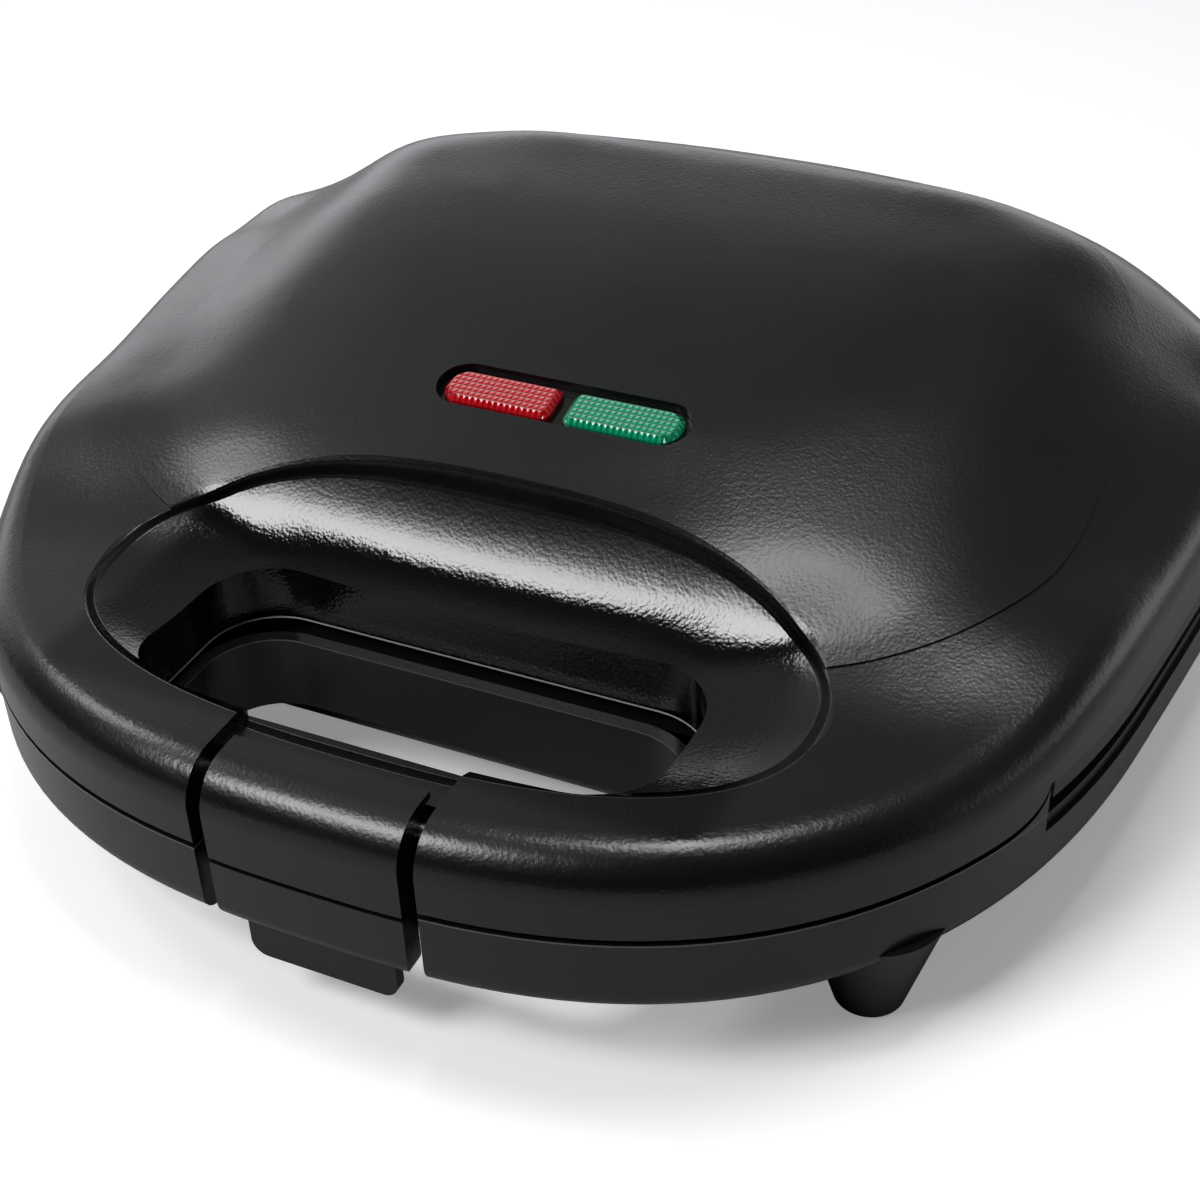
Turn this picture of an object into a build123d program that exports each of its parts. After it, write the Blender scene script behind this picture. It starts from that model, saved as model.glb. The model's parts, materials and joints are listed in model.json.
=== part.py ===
from build123d import *
import math
import os

os.makedirs("parts", exist_ok=True)

# Millimetres, +Z up, +Y towards the hinge. The origin is on the counter, under the middle of the whole machine.

# The outline of the body, seen from above: two superellipses that meet at the waist.
waist_y = -4.0
waist_half_width = 112.0
side_taper = 0.12
front_reach = 103.2
rear_reach = 107.0
front_roundness = 2.6
rear_roundness = 4.5
outline_steps = 40

# Heights of the body.
belly_z = 7.0
band_bottom_z = 17.0
seam_z = 32.5
seam_gap = 1.1
side_wall_top_z = seam_z - 4.5
skirt_side_z = seam_z + 5.9
handle_top_z = 47.6
crown_peak_z = 76.3

# The top surface of the lid.
crown_peak_y = rear_reach - 15.0
crown_bow = 9.9
crown_bow_reach = 100.0
crown_bow_power = 2.2
crown_half = 95.0
crown_centre_y = 10.0
crown_front_reach = 64.0
crown_rear_reach = 77.0
crown_front_roundness = 2.8
crown_rear_roundness = 3.8
crown_step = 0.4
surface_margin_side = 14.0
surface_margin_front = 6.8
surface_margin_rear = 7.0
crown_edge_y = rear_reach - 17.7
crown_corner_x = waist_half_width - 43.7
crown_corner_back = 12.8
crown_edge_width = 2.0
rear_slope = 0.48
rear_slope_gain = 0.01
swell_roundness = 2.0
swell_front_power = 2.1
swell_rear_power = 8.5
swell_edge_power = 1.2
flank_rise = 9.0
flank_start_y = -60.0
flank_length = 44.0
shoulder_rise = 5.5
shoulder_start_y = -15.0
shoulder_length = 65.0
side_fall = 9.0
rear_fall = 2.0
top_edge_radius = 8.0
band_edge_radius = 4.0

# Walls.
shell_wall = 2.4
belly_inset = 13.0

# The place where the sides step down behind the handle.
handle_depth = 15.9
slot_width = 40.0
slot_front_y = handle_depth - front_reach
slot_rear_y = slot_front_y + slot_width
step_y = slot_rear_y + 1.3
step_length = 14.0
step_side_x = waist_half_width - 32.0

# The dish round the finger slot.
lid_slot_half = 48.5
base_slot_half = 46.5
base_slot_rear_y = slot_rear_y - 4.7
slot_corner_radius = 13.0
dish_middle_y = slot_front_y + 29.3
dish_low_z = handle_top_z - 5.3
dish_rim_half = 68.5
dish_rear_reach = 29.3
dish_front_reach = 33.0
dish_rear_roundness = 2.4
dish_front_roundness = 2.3
dish_power = 3.0

# The latch in the front of the handle.
latch_half = 17.8
latch_gap = 2.8
latch_wall = 2.2
latch_rear_y = 8.3 - front_reach
latch_split_z = seam_z - 1.9
latch_split_gap = 0.9
latch_pivot_y = latch_rear_y - 3.6
latch_pivot_z = handle_top_z - 5.2
latch_pin_radius = 1.25
latch_boss_radius = 2.6
latch_boss_width = 3.0
latch_boss_x = latch_half - 5.3
latch_recess_y = latch_rear_y - 0.5
latch_side_wall = 1.4
latch_plate_half = latch_half - 1.6
latch_plate_top_z = latch_pivot_z - 1.5
latch_tongue_y = latch_rear_y - 1.4
latch_tongue_z = handle_top_z - 1.4
latch_corner_radius = 3.0
latch_screw_x = latch_half - 8.8
latch_screw_head = 1.2
latch_screw_grip = 1.1
latch_upper_screw_z = 35.5
latch_lower_screw_z = 26.2
saddle_drop = 2.6
tab_half = latch_half - 3.9
tab_bottom_z = 9.5
tab_thickness = 2.2
hook_reach = 4.4
hook_z = 21.0
hook_height = 1.8
keeper_overlap = 1.5
keeper_gap = 0.5
keeper_height = 2.0

# Fits.
pin_clearance = 0.05
running_clearance = 0.3
assembly_clearance = 0.4

# The hinge behind the body.
hinge_radius = 4.2
hinge_y = rear_reach - 4.0
hinge_z = seam_z + 0.9
hinge_pin_radius = 2.0
hinge_x = 62.0
base_knuckle_width = 11.0
lid_knuckle_width = 8.0
knuckle_gap = 0.4
hinge_arm_thickness = 3.4

# The cooking plates.
plate_half_length = waist_half_width - 18.0
plate_front_y = step_y + 3.0
plate_rear_y = rear_reach - 30.0
plate_corner_radius = 12.0
plate_flange = 2.2
plate_gap = 0.5
plate_wall = 2.4
pocket_depth = 12.0
pocket_margin = 7.0
pocket_spacing = 8.0
ridge_width = 6.0
pocket_corner_radius = 8.0
pocket_taper = 24.0
frame_thickness = 3.9
frame_inset = 0.3

# The heaters and what is round them.
heater_radius = 3.0
heater_half_span = plate_half_length - 36.0
heater_front_y = plate_front_y + 21.0
heater_rear_y = plate_rear_y - 19.0
heater_bend_radius = 22.0
shield_thickness = 0.8
shield_half_length = plate_half_length - 22.0
shield_front_y = plate_front_y + 41.0
shield_rear_y = plate_rear_y - 15.0

# The feet.
front_foot_x = waist_half_width - 31.4
front_foot_y = 38.2 - front_reach
rear_foot_x = waist_half_width - 34.0
rear_foot_y = rear_reach - 37.0
foot_top_radius = 11.0
foot_bottom_radius = 6.1
foot_pad_radius = 4.4
foot_pad_height = 2.0
foot_pad_seat = 1.2

# The two lamps in the lid.
lamp_y = -9.0
lamp_pocket_half = 25.6
lamp_pocket_width = 11.4
lamp_pocket_depth = 1.8
lens_length = 22.6
lens_width = 8.6
lens_divider = 2.6
lens_height = 4.6
lens_proud = 0.3
lens_corner = 2.0
lens_round_corner = 4.0
lens_bevel = 1.0
bezel_floor = 2.6
bezel_flange = 1.5
lamp_radius = 2.3
lamp_length = 14.0
lamp_depth = 5.0
holder_thickness = 1.6
holder_half = 35.5
holder_width = 16.0
holder_screw_x = 32.0

# Screws.
plate_screw_radius = 1.5
plate_screw_head = 2.8
plate_screw_length = 9.0
plate_screw_inset = 5.5
screw_post_radius = 4.0
small_screw_radius = 1.1
small_screw_head = 2.1
small_screw_length = 6.0
screw_slot_width = 0.8

# What the cord comes in through, and what it is wired to.
bush_x = 30.0
bush_z = 22.6
bush_bore = 3.5
bush_length = 7.6
bush_radius = 5.2
bush_flange_radius = 6.6
bush_flange = 1.6
clamp_half = 12.0
clamp_width = 7.0
clamp_thickness = 3.0
clamp_post_radius = 3.0
clamp_screw_x = 8.0
clamp_y = rear_reach - 13.5
clamp_post_height = 4.0
wiring_y = plate_rear_y + 2.3
terminal_length = 30.0
terminal_width = 9.0
terminal_height = 10.0
terminal_bores = 3
thermostat_x = -42.0
thermostat_length = 18.0
fuse_x = 46.0
fuse_radius = 2.6
fuse_length = 20.0
spring_wire = 0.35
spring_radius = 2.3
spring_pitch = 1.3
spring_turns = 6


def smooth_step(value):
    value = min(max(value, 0.0), 1.0)
    return value * value * (3 - 2 * value)


def superellipse(angle, half, reach, roundness):
    """One point of a superellipse about the origin, by its parameter in degrees."""
    across = math.cos(math.radians(angle))
    along = math.sin(math.radians(angle))
    x = math.copysign(abs(across) ** (2 / roundness), across) * half
    y = math.copysign(abs(along) ** (2 / roundness), along) * reach
    return (x, y)


def outline_point(angle, inset):
    rear = angle > 0
    reach = (rear_reach if rear else front_reach) - inset
    roundness = rear_roundness if rear else front_roundness
    x, y = superellipse(angle, 1.0, reach, roundness)
    return (x * (waist_half_width + side_taper * y - inset), waist_y + y)


def symmetric_face(points, z):
    """A face from the points of its right half, which start and end on the centre line."""
    right = Spline(*points, tangents=[(1, 0), (-1, 0)])
    return Pos(0, 0, z) * make_face([right, mirror(right, about=Plane.YZ)])


def outline_face(inset, z):
    front = (0.0, waist_y - front_reach + inset)
    rear = (0.0, waist_y + rear_reach - inset)
    between = [outline_point(-90 + 180 * i / outline_steps, inset) for i in range(1, outline_steps)]
    return symmetric_face([front, *between, rear], z)


def crown_point(angle, inset):
    rear = angle > 0
    reach = (crown_rear_reach if rear else crown_front_reach) - inset
    roundness = crown_rear_roundness if rear else crown_front_roundness
    x, y = superellipse(angle, crown_half - inset, reach, roundness)
    return (x, crown_centre_y + y)


def crown_face(inset, z):
    front = (0.0, crown_centre_y - crown_front_reach + inset)
    rear = (0.0, crown_centre_y + crown_rear_reach - inset)
    between = [crown_point(-90 + 180 * i / outline_steps, inset) for i in range(1, outline_steps)]
    return symmetric_face([front, *between, rear], z)


def swell_half_at(y):
    lead = min(max((crown_centre_y - y) / crown_front_reach, 0.0), 1.0)
    return crown_half * (1 - lead ** swell_roundness) ** (1 / swell_roundness)


def top_height(x, y):
    """Height of the lid's top surface: a handle, a flank and a crown that swells out of them."""
    flank = handle_top_z + flank_rise * smooth_step((y - flank_start_y) / flank_length)
    flank = flank + shoulder_rise * smooth_step((y - shoulder_start_y) / shoulder_length)
    centre = crown_peak_z - crown_bow * (abs(y - crown_peak_y) / crown_bow_reach) ** crown_bow_power
    blend = smooth_step((y + 35) / 110)
    power = swell_front_power + (swell_rear_power - swell_front_power) * blend
    half = swell_half_at(y)
    swell = 0.0
    if abs(x) < half:
        swell = (centre - flank) * (1 - (abs(x) / half) ** power) ** swell_edge_power
    side = min(abs(x) / (waist_half_width + 5), 1.1)
    back = max((y - waist_y) / rear_reach, 0.0)
    rise = smooth_step((y - flank_start_y) / flank_length)
    top = flank + swell - side_fall * rise * side ** 8 - rear_fall * back ** 16
    edge_y = crown_edge_y - crown_corner_back * (abs(x) / crown_corner_x) ** 2.5
    behind = max(y - edge_y, 0.0)
    slope = crown_peak_z + 0.5 - behind * (rear_slope + rear_slope_gain * behind)
    return (top + slope - math.hypot(top - slope, crown_edge_width)) / 2


def space_above(height_at, columns, rows, reach_x, first_y, last_y):
    """Everything above a surface whose height is given at each place of the plan."""
    grid = []
    for j in range(rows + 1):
        y = first_y + (last_y - first_y) * j / rows
        xs = [-reach_x + 2 * reach_x * i / columns for i in range(columns + 1)]
        grid.append([Vector(x, y, height_at(x, y)) for x in xs])
    surface = Face.make_surface_from_array_of_points(grid, smoothing=(1, 1, 1), min_deg=3, max_deg=6)
    return Solid.extrude(surface, Vector(0, 0, 60))


def space_above_top(offset):
    """Everything above the lid's top surface, moved up or down by the offset."""
    return space_above(lambda x, y: top_height(x, y) + offset, 20, 18, waist_half_width + surface_margin_side,
                       waist_y - front_reach - surface_margin_front, waist_y + rear_reach + surface_margin_rear)


def dish_height(x, y, grow):
    """Height of the bowl round the finger slot: low at its middle, and as high as the lid at its rim."""
    ahead = y < dish_middle_y
    reach = (dish_front_reach if ahead else dish_rear_reach) + grow
    roundness = dish_front_roundness if ahead else dish_rear_roundness
    across = (abs(x) / (dish_rim_half + grow)) ** roundness
    along = (abs(y - dish_middle_y) / reach) ** roundness
    out = (across + along) ** (1 / roundness)
    share = out ** dish_power if out < 1 else 1 + dish_power * (out - 1)
    return dish_low_z - grow + (top_height(x, y) - dish_low_z) * share


def body_form(inset, bottom_z, top_offset, top_radius, bottom_radius):
    """The closed form of the whole body, or of the space inside it."""
    form = extrude(outline_face(inset, bottom_z), 90 - bottom_z) - space_above_top(top_offset)
    rim = [edge for edge in form.edges() if edge.center().Z > bottom_z + 10]
    form = fillet(rim, top_radius)
    base_edges = [edge for edge in form.edges() if abs(edge.center().Z - bottom_z) < 0.1]
    return fillet(base_edges, bottom_radius)


def block(x0, x1, y0, y1, z0, z1):
    return Pos((x0 + x1) / 2, (y0 + y1) / 2, (z0 + z1) / 2) * Box(x1 - x0, y1 - y0, z1 - z0)


def both_sides(shape):
    return [shape, mirror(shape, about=Plane.YZ)]


def rounded_block(half, front_y, rear_y, radius, z0, z1):
    sketch = Pos(0, (front_y + rear_y) / 2, z0) * RectangleRounded(2 * half, rear_y - front_y, radius)
    return extrude(sketch, z1 - z0)


def rod_x(radius, x0, x1, y, z):
    return Pos((x0 + x1) / 2, y, z) * Rot(0, 90, 0) * Cylinder(radius, x1 - x0)


def post(radius, x, y, z0, z1):
    return Pos(x, y, (z0 + z1) / 2) * Cylinder(radius, z1 - z0)


def save(name, shape):
    items = shape if isinstance(shape, list) else [shape]
    solids = [solid for item in items for solid in item.solids()]
    result = solids[0] if len(solids) == 1 else Compound(children=list(solids))
    result.label = name
    export_step(result, f"parts/{name}.step")
    print(name, len(solids), round(sum(solid.volume for solid in solids)))


# The common form of the body, which the lid, the base and the latch share.
body = body_form(0.0, band_bottom_z, 0.0, top_edge_radius, band_edge_radius)
hollow = body_form(shell_wall, band_bottom_z + shell_wall, -shell_wall, top_edge_radius - shell_wall, 2.0)


def dish_form(grow):
    """The space over the bowl round the finger slot, or over the inside of its wall."""
    return space_above(lambda x, y: dish_height(x, y, grow), 28, 16, dish_rim_half + 13.5,
                       dish_middle_y - dish_front_reach - 10.0, dish_middle_y + dish_rear_reach + 6.7)


recess_half = latch_half + latch_gap
lid_bottom_z = seam_z + seam_gap / 2
base_top_z = seam_z - seam_gap / 2


def step_profile(z_front, z_rear):
    """The seam's rise beside the step in the sides: a face in the YZ plane that reaches down to the floor."""
    start = step_y - step_length
    rise = Spline((start, z_front), (step_y, z_rear), tangents=[(1, 0), (0.25, 1)])
    rest = Polyline((step_y, z_rear), (step_y, 0), (start, 0), (start, z_front))
    return Plane.YZ * make_face([*rise.edges(), *rest.edges()])


def side_prism(face):
    """The face in the YZ plane, extruded over both outer walls."""
    right = extrude(Pos(step_side_x, 0, 0) * face, 50, dir=(1, 0, 0))
    return both_sides(right)


def base_form(inset, bottom_z, radius):
    form = extrude(outline_face(inset, bottom_z), skirt_side_z - bottom_z)
    bottom_edges = [edge for edge in form.edges() if abs(edge.center().Z - bottom_z) < 0.1]
    return fillet(bottom_edges, radius)


base_outer = base_form(0.0, band_bottom_z, band_edge_radius)


def belly_form(inset):
    """The deep part of the base, under the cooking plates."""
    bottom = belly_z + inset
    tall = extrude(outline_face(belly_inset + inset, bottom), band_bottom_z + 4 - bottom)
    front = step_y + inset
    form = tall & block(-140, 140, front, 140, 0, 60)
    bottom_edges = [edge for edge in form.edges() if abs(edge.center().Z - bottom) < 0.1]
    return fillet(bottom_edges, 3.0 if inset else 5.0)


def knuckle(x, width, arm_bottom, arm_top):
    barrel = rod_x(hinge_radius, x - width / 2, x + width / 2, hinge_y, hinge_z)
    arm = block(x - width / 2, x + width / 2, hinge_y - hinge_arm_thickness - 1, hinge_y, arm_bottom, arm_top)
    return barrel + arm - rod_x(hinge_pin_radius + pin_clearance, x - 50, x + 50, hinge_y, hinge_z)


floor_z = band_bottom_z + shell_wall
belly_floor_z = belly_z + shell_wall
lower_plate_top = seam_z - plate_gap / 2 - 0.25
upper_plate_bottom = lower_plate_top + plate_gap
plate_screw_places = [(sx * (plate_half_length - plate_screw_inset), y)
                      for sx in (-1, 1)
                      for y in (plate_front_y + plate_screw_inset, plate_rear_y - plate_screw_inset)]


def make_base_cover():
    cover = base_outer + belly_form(0.0)
    cover = cover - extrude(outline_face(shell_wall, floor_z), 40) - belly_form(shell_wall)
    ring = rounded_block(base_slot_half + shell_wall, slot_front_y - shell_wall,
                         base_slot_rear_y + shell_wall, slot_corner_radius + shell_wall, floor_z - 1, base_top_z)
    recess_wall = block(-recess_half - shell_wall, recess_half + shell_wall,
                        -120, latch_recess_y + shell_wall, floor_z - 1, base_top_z) & base_outer
    cover = cover + ring + recess_wall
    for x, y in plate_screw_places:
        cover = cover + post(screw_post_radius, x, y, belly_floor_z - 1, lower_plate_top - plate_flange)
    for side in (-1, 1):
        cover = cover + post(clamp_post_radius, bush_x + side * clamp_screw_x, clamp_y,
                             floor_z - 1, floor_z + clamp_post_height)
    # The parting with the lid, with its step in the sides.
    cover = cover - block(-140, 140, step_y, 140, side_wall_top_z, 60)
    low_side = side_prism(step_profile(base_top_z, skirt_side_z - seam_gap))
    above_seam = block(-140, 140, -140, step_y, base_top_z, 60)
    for side in low_side:
        above_seam = above_seam - side
    cover = cover - above_seam
    # The slot, the recess for the latch, and the keeper that its hook catches.
    cover = cover - rounded_block(base_slot_half, slot_front_y, base_slot_rear_y, slot_corner_radius, 0, 50)
    cover = cover - block(-recess_half, recess_half, -130, latch_recess_y, 0, 60)
    keeper_front = latch_hook_tip_y - keeper_overlap
    keeper_bottom = hook_z + hook_height + keeper_gap
    cover = cover + block(-tab_half, tab_half, keeper_front, latch_recess_y + 1,
                          keeper_bottom, keeper_bottom + keeper_height)
    # The hinge knuckles, the screw holes and the hole for the cord bush.
    for side in (-1, 1):
        cover = cover + knuckle(side * hinge_x, base_knuckle_width, floor_z, hinge_z)
    for x, y in plate_screw_places:
        cover = cover - post(plate_screw_radius, x, y, lower_plate_top - plate_screw_length, 60)
    for side in (-1, 1):
        cover = cover - post(small_screw_radius, bush_x + side * clamp_screw_x, clamp_y,
                             floor_z + clamp_post_height + clamp_thickness - small_screw_length, 60)
    cover = cover - Pos(bush_x, waist_y + rear_reach - 8, bush_z) * Rot(90, 0, 0) * Cylinder(bush_radius, 40)
    return cover


latch_plate_y = waist_y - front_reach + latch_wall + assembly_clearance
latch_hook_tip_y = latch_plate_y + tab_thickness + hook_reach


def plate_frame_face(inset, front_y, z):
    """The plan of a rim frame: the body's outline behind the handle, less the opening for the plate."""
    ring = outline_face(inset, z) & (Pos(0, front_y + 90, z) * Rectangle(280, 180))
    middle = (plate_front_y + plate_rear_y) / 2
    depth = plate_rear_y - plate_front_y
    opening = Pos(0, middle, z) * RectangleRounded(2 * (plate_half_length + assembly_clearance),
                                                   depth + 2 * assembly_clearance, plate_corner_radius)
    return ring - opening


def make_base_rim_frame():
    frame = extrude(plate_frame_face(0.9, step_y + 0.5, side_wall_top_z + 0.05), base_frame_height)
    for side in (-1, 1):
        x = side * hinge_x
        reach = base_knuckle_width / 2 + knuckle_gap + lid_knuckle_width + 1
        frame = frame - block(x - reach, x + reach, hinge_y - hinge_radius - 1.2, 140, 0, 60)
    return frame


base_frame_height = 2.4
lid_frame_top = skirt_side_z - 0.15


def make_lid_rim_frame():
    front_y = slot_rear_y + shell_wall + assembly_clearance
    frame = extrude(plate_frame_face(frame_inset, front_y, lid_frame_top - frame_thickness), frame_thickness)
    for side in (-1, 1):
        x = side * hinge_x
        half = base_knuckle_width / 2 + knuckle_gap
        frame = frame - rod_x(hinge_radius + 0.5, x - half, x + half, hinge_y, hinge_z)
        frame = frame - block(x - half, x + half, hinge_y - 0.2, 140, 0, 60)
        for end in (-1, 1):
            centre = x + end * (half + lid_knuckle_width / 2)
            frame = frame + knuckle(centre, lid_knuckle_width, hinge_z, lid_frame_top)
    return frame - rod_x(hinge_pin_radius + pin_clearance, -110, 110, hinge_y, hinge_z)


def make_hinge_pins():
    length = base_knuckle_width + 2 * (knuckle_gap + lid_knuckle_width) + 1
    return [rod_x(hinge_pin_radius, side * hinge_x - length / 2, side * hinge_x + length / 2, hinge_y, hinge_z)
            for side in (-1, 1)]


def pocket_sketch(side, upper):
    """One triangular pocket: half of a slice's rectangle, beside its diagonal ridge."""
    x0 = pocket_spacing / 2 + plate_wall
    x1 = plate_half_length - pocket_margin
    y0 = plate_front_y + pocket_margin
    y1 = plate_rear_y - pocket_margin
    width = x1 - x0
    depth = y1 - y0
    diagonal = math.hypot(width, depth)
    dx = ridge_width / 2 * diagonal / depth
    dy = ridge_width / 2 * diagonal / width
    if upper:
        corners = [(x0, y0 + dy), (x0, y1), (x1 - dx, y1)]
    else:
        corners = [(x0 + dx, y0), (x1, y1 - dy), (x1, y0)]
    corners = [(side * x, y) for x, y in corners]
    outline = make_face(Polyline(*corners, close=True))
    return fillet(outline.vertices(), pocket_corner_radius)


def make_lower_plate():
    sketches = [pocket_sketch(side, upper) for side in (-1, 1) for upper in (False, True)]
    flange = rounded_block(plate_half_length, plate_front_y, plate_rear_y, plate_corner_radius,
                           lower_plate_top - plate_flange, lower_plate_top)
    plate = flange
    for sketch in sketches:
        outer = Pos(0, 0, lower_plate_top - 0.5) * offset(sketch, plate_wall)
        plate = plate + extrude(outer, -(pocket_depth + plate_wall - 0.5), taper=pocket_taper)
    for sketch in sketches:
        plate = plate - extrude(Pos(0, 0, lower_plate_top) * sketch, -pocket_depth, taper=pocket_taper)
    for x, y in plate_screw_places:
        plate = plate - countersunk(x, y, lower_plate_top, pin_clearance)
    return plate


def countersunk(x, y, top, grow):
    """A countersunk screw with its head flush at the top, or the hole for it."""
    radius = plate_screw_radius + grow
    head = plate_screw_head + grow
    shank = post(radius, x, y, top - plate_screw_length, top)
    cone_height = head - radius
    cone = Pos(x, y, top - cone_height / 2) * Cone(radius, head, cone_height)
    return shank + cone


def screw_slot(x, y, top, head):
    return block(x - head * 2, x + head * 2, y - screw_slot_width / 2, y + screw_slot_width / 2, top - 0.7, top + 1)


def make_lower_plate_screws():
    return [countersunk(x, y, lower_plate_top, 0.0) - screw_slot(x, y, lower_plate_top, plate_screw_head)
            for x, y in plate_screw_places]


seam_plane = Plane(origin=(0, 0, lower_plate_top + plate_gap / 2), z_dir=(0, 0, 1))


def flipped(shape):
    """The same piece on the other side of the gap between the two plates."""
    if isinstance(shape, list):
        return [mirror(item, about=seam_plane) for item in shape]
    return mirror(shape, about=seam_plane)


heater_z = lower_plate_top - pocket_depth - plate_wall - heater_radius


def make_heater():
    corners = [(-heater_half_span, heater_rear_y + 12, heater_z), (-heater_half_span, heater_front_y, heater_z),
               (heater_half_span, heater_front_y, heater_z), (heater_half_span, heater_rear_y + 12, heater_z)]
    path = FilletPolyline(*corners, radius=heater_bend_radius)
    start = Plane(origin=corners[0], z_dir=(0, -1, 0))
    tube = sweep(start * Circle(heater_radius), path=path)
    for side in (-1, 1):
        x = side * heater_half_span
        tube = tube + Pos(x, heater_rear_y + 16, heater_z) * Rot(90, 0, 0) * Cylinder(1.2, 12)
    return tube


def make_heater_clips():
    clips = []
    for side in (-1, 1):
        for y in (heater_front_y + 32, heater_rear_y - 8):
            turn = Pos(side * heater_half_span, y, heater_z) * Rot(90, 0, 0)
            band = turn * (Cylinder(heater_radius + 0.9, 9) - Cylinder(heater_radius, 20))
            band = band & block(-200, 200, -200, 200, heater_z - 20, heater_z)
            x = side * heater_half_span
            inner = heater_radius + 0.05
            outer = heater_radius + 5.5
            for end in (-1, 1):
                edges = sorted((x + end * inner, x + end * outer))
                foot = block(edges[0], edges[1], y - 4.5, y + 4.5, heater_z, heater_z + heater_radius)
                band = band + foot
            clips.append(band)
    return clips


def make_heat_shield():
    top = heater_z - heater_radius - 1.2
    tray = rounded_block(shield_half_length, shield_front_y, shield_rear_y, 10, top - shield_thickness, top)
    return tray


def make_feet():
    feet = []
    for x, y, top in ((front_foot_x, front_foot_y, band_bottom_z + 4), (rear_foot_x, rear_foot_y, belly_z + 1)):
        for side in (-1, 1):
            bottom = foot_pad_height - foot_pad_seat
            slope = (foot_top_radius - foot_bottom_radius) / (band_bottom_z - bottom)
            top_radius = foot_bottom_radius + slope * (top - bottom)
            cone = Pos(side * x, y, (top + bottom) / 2) * Cone(foot_bottom_radius, top_radius, top - bottom)
            cone = cone - post(foot_pad_radius, side * x, y, 0, foot_pad_height)
            feet.append(cone - base_outer - belly_form(0.0))
    return feet


def make_foot_pads():
    pads = []
    for x, y in ((front_foot_x, front_foot_y), (rear_foot_x, rear_foot_y)):
        for side in (-1, 1):
            pad = post(foot_pad_radius - 0.02, side * x, y, 0, foot_pad_height - 0.02)
            pads.append(fillet(pad.edges().sort_by(Axis.Z)[0], 0.5))
    return pads


# The tilted plane of the lamps, tangent to the lid.
lamp_top = top_height(0, lamp_y)
lamp_slope = math.degrees(math.atan(top_height(0, lamp_y + 1) - top_height(0, lamp_y - 1)) / 1) / 2
lamp_place = Pos(0, lamp_y, lamp_top) * Rot(lamp_slope, 0, 0)


def lamp_stadium(grow, low, high):
    sketch = Pos(0, 0, low) * SlotOverall(2 * (lamp_pocket_half + grow), lamp_pocket_width + 2 * grow)
    return lamp_place * extrude(sketch, high - low)


def lens_sketch(grow):
    """A lens seen from above: two small corners at the divider, two rounder ones at the outer end."""
    length = lens_length + 2 * grow
    width = lens_width + 2 * grow
    square_end = RectangleRounded(length, width, lens_corner)
    round_end = Pos(5, 0) * RectangleRounded(length + 10, width, lens_round_corner)
    return square_end & round_end


def lens_solid(side, grow, low, high):
    centre = (lens_divider + lens_length) / 2
    sketch = lens_sketch(grow)
    if side > 0:
        sketch = mirror(sketch, about=Plane.YZ)
    return extrude(Pos(side * centre, 0, low) * sketch, high - low)


def make_lens(side):
    lens = lens_solid(side, 0.0, lens_proud - lens_height, lens_proud)
    lens = chamfer(lens.faces().sort_by(Axis.Z)[-1].edges(), lens_bevel)
    return lamp_place * lens


def make_lamp_bezel():
    floor = -lamp_pocket_depth
    bezel = lamp_stadium(-0.1, floor - bezel_floor, floor)
    bezel = bezel + lamp_stadium(2.0, floor - bezel_floor - bezel_flange, floor - bezel_floor)
    for side in (-1, 1):
        bezel = bezel - lamp_place * lens_solid(side, 0.1, -20, 5)
    return bezel


def make_lamp(side):
    centre = side * (lens_divider + lens_length) / 2
    tube = Pos(centre, 0, -lamp_depth - lamp_radius) * Rot(0, 90, 0) * Cylinder(lamp_radius, lamp_length)
    return lamp_place * fillet(tube.edges(), lamp_radius * 0.6)


def make_lamp_holder():
    top = -lamp_depth - 2 * lamp_radius
    board = Pos(0, 0, top - holder_thickness / 2) * Box(2 * holder_half, holder_width, holder_thickness)
    for side in (-1, 1):
        board = board - Pos(side * holder_screw_x, 0, top) * Cylinder(small_screw_radius + 0.05, 10)
    return lamp_place * board


def make_lamp_holder_screws():
    top = -lamp_depth - 2 * lamp_radius
    screws = []
    for side in (-1, 1):
        shank = Pos(0, 0, small_screw_length / 2) * Cylinder(small_screw_radius, small_screw_length)
        head = Pos(0, 0, -0.7) * Cylinder(small_screw_head, 1.4)
        slot = Pos(0, 0, -1.4) * Box(10, screw_slot_width, 1.2)
        place = lamp_place * Pos(side * holder_screw_x, 0, top - holder_thickness)
        screws.append(place * (shank + head - slot))
    return screws


def lid_lamp_posts():
    top = -lamp_depth - 2 * lamp_radius
    posts = []
    for side in (-1, 1):
        column = Pos(side * holder_screw_x, 0, top / 2) * Cylinder(2.6, -top)
        posts.append(lamp_place * column)
    return posts


def lid_lamp_holes():
    top = -lamp_depth - 2 * lamp_radius - holder_thickness
    holes = []
    for side in (-1, 1):
        hole = Pos(side * holder_screw_x, 0, top + small_screw_length / 2) * Cylinder(small_screw_radius, small_screw_length)
        holes.append(lamp_place * hole)
    return holes


latch_side_half = latch_half - latch_side_wall
latch_cover_bottom_z = latch_split_z + latch_split_gap / 2
latch_lower_top_z = latch_split_z - latch_split_gap / 2


def latch_screw_shanks(z):
    """The shanks of the two screws that hold a latch cover, from the head to the tip."""
    tip = latch_plate_y - assembly_clearance - latch_screw_grip
    rear = latch_plate_y + tab_thickness
    shanks = []
    for side in (-1, 1):
        shank = Rot(90, 0, 0) * Cylinder(small_screw_radius, rear - tip)
        shanks.append(Pos(side * latch_screw_x, (rear + tip) / 2, z) * shank)
    return shanks


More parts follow.
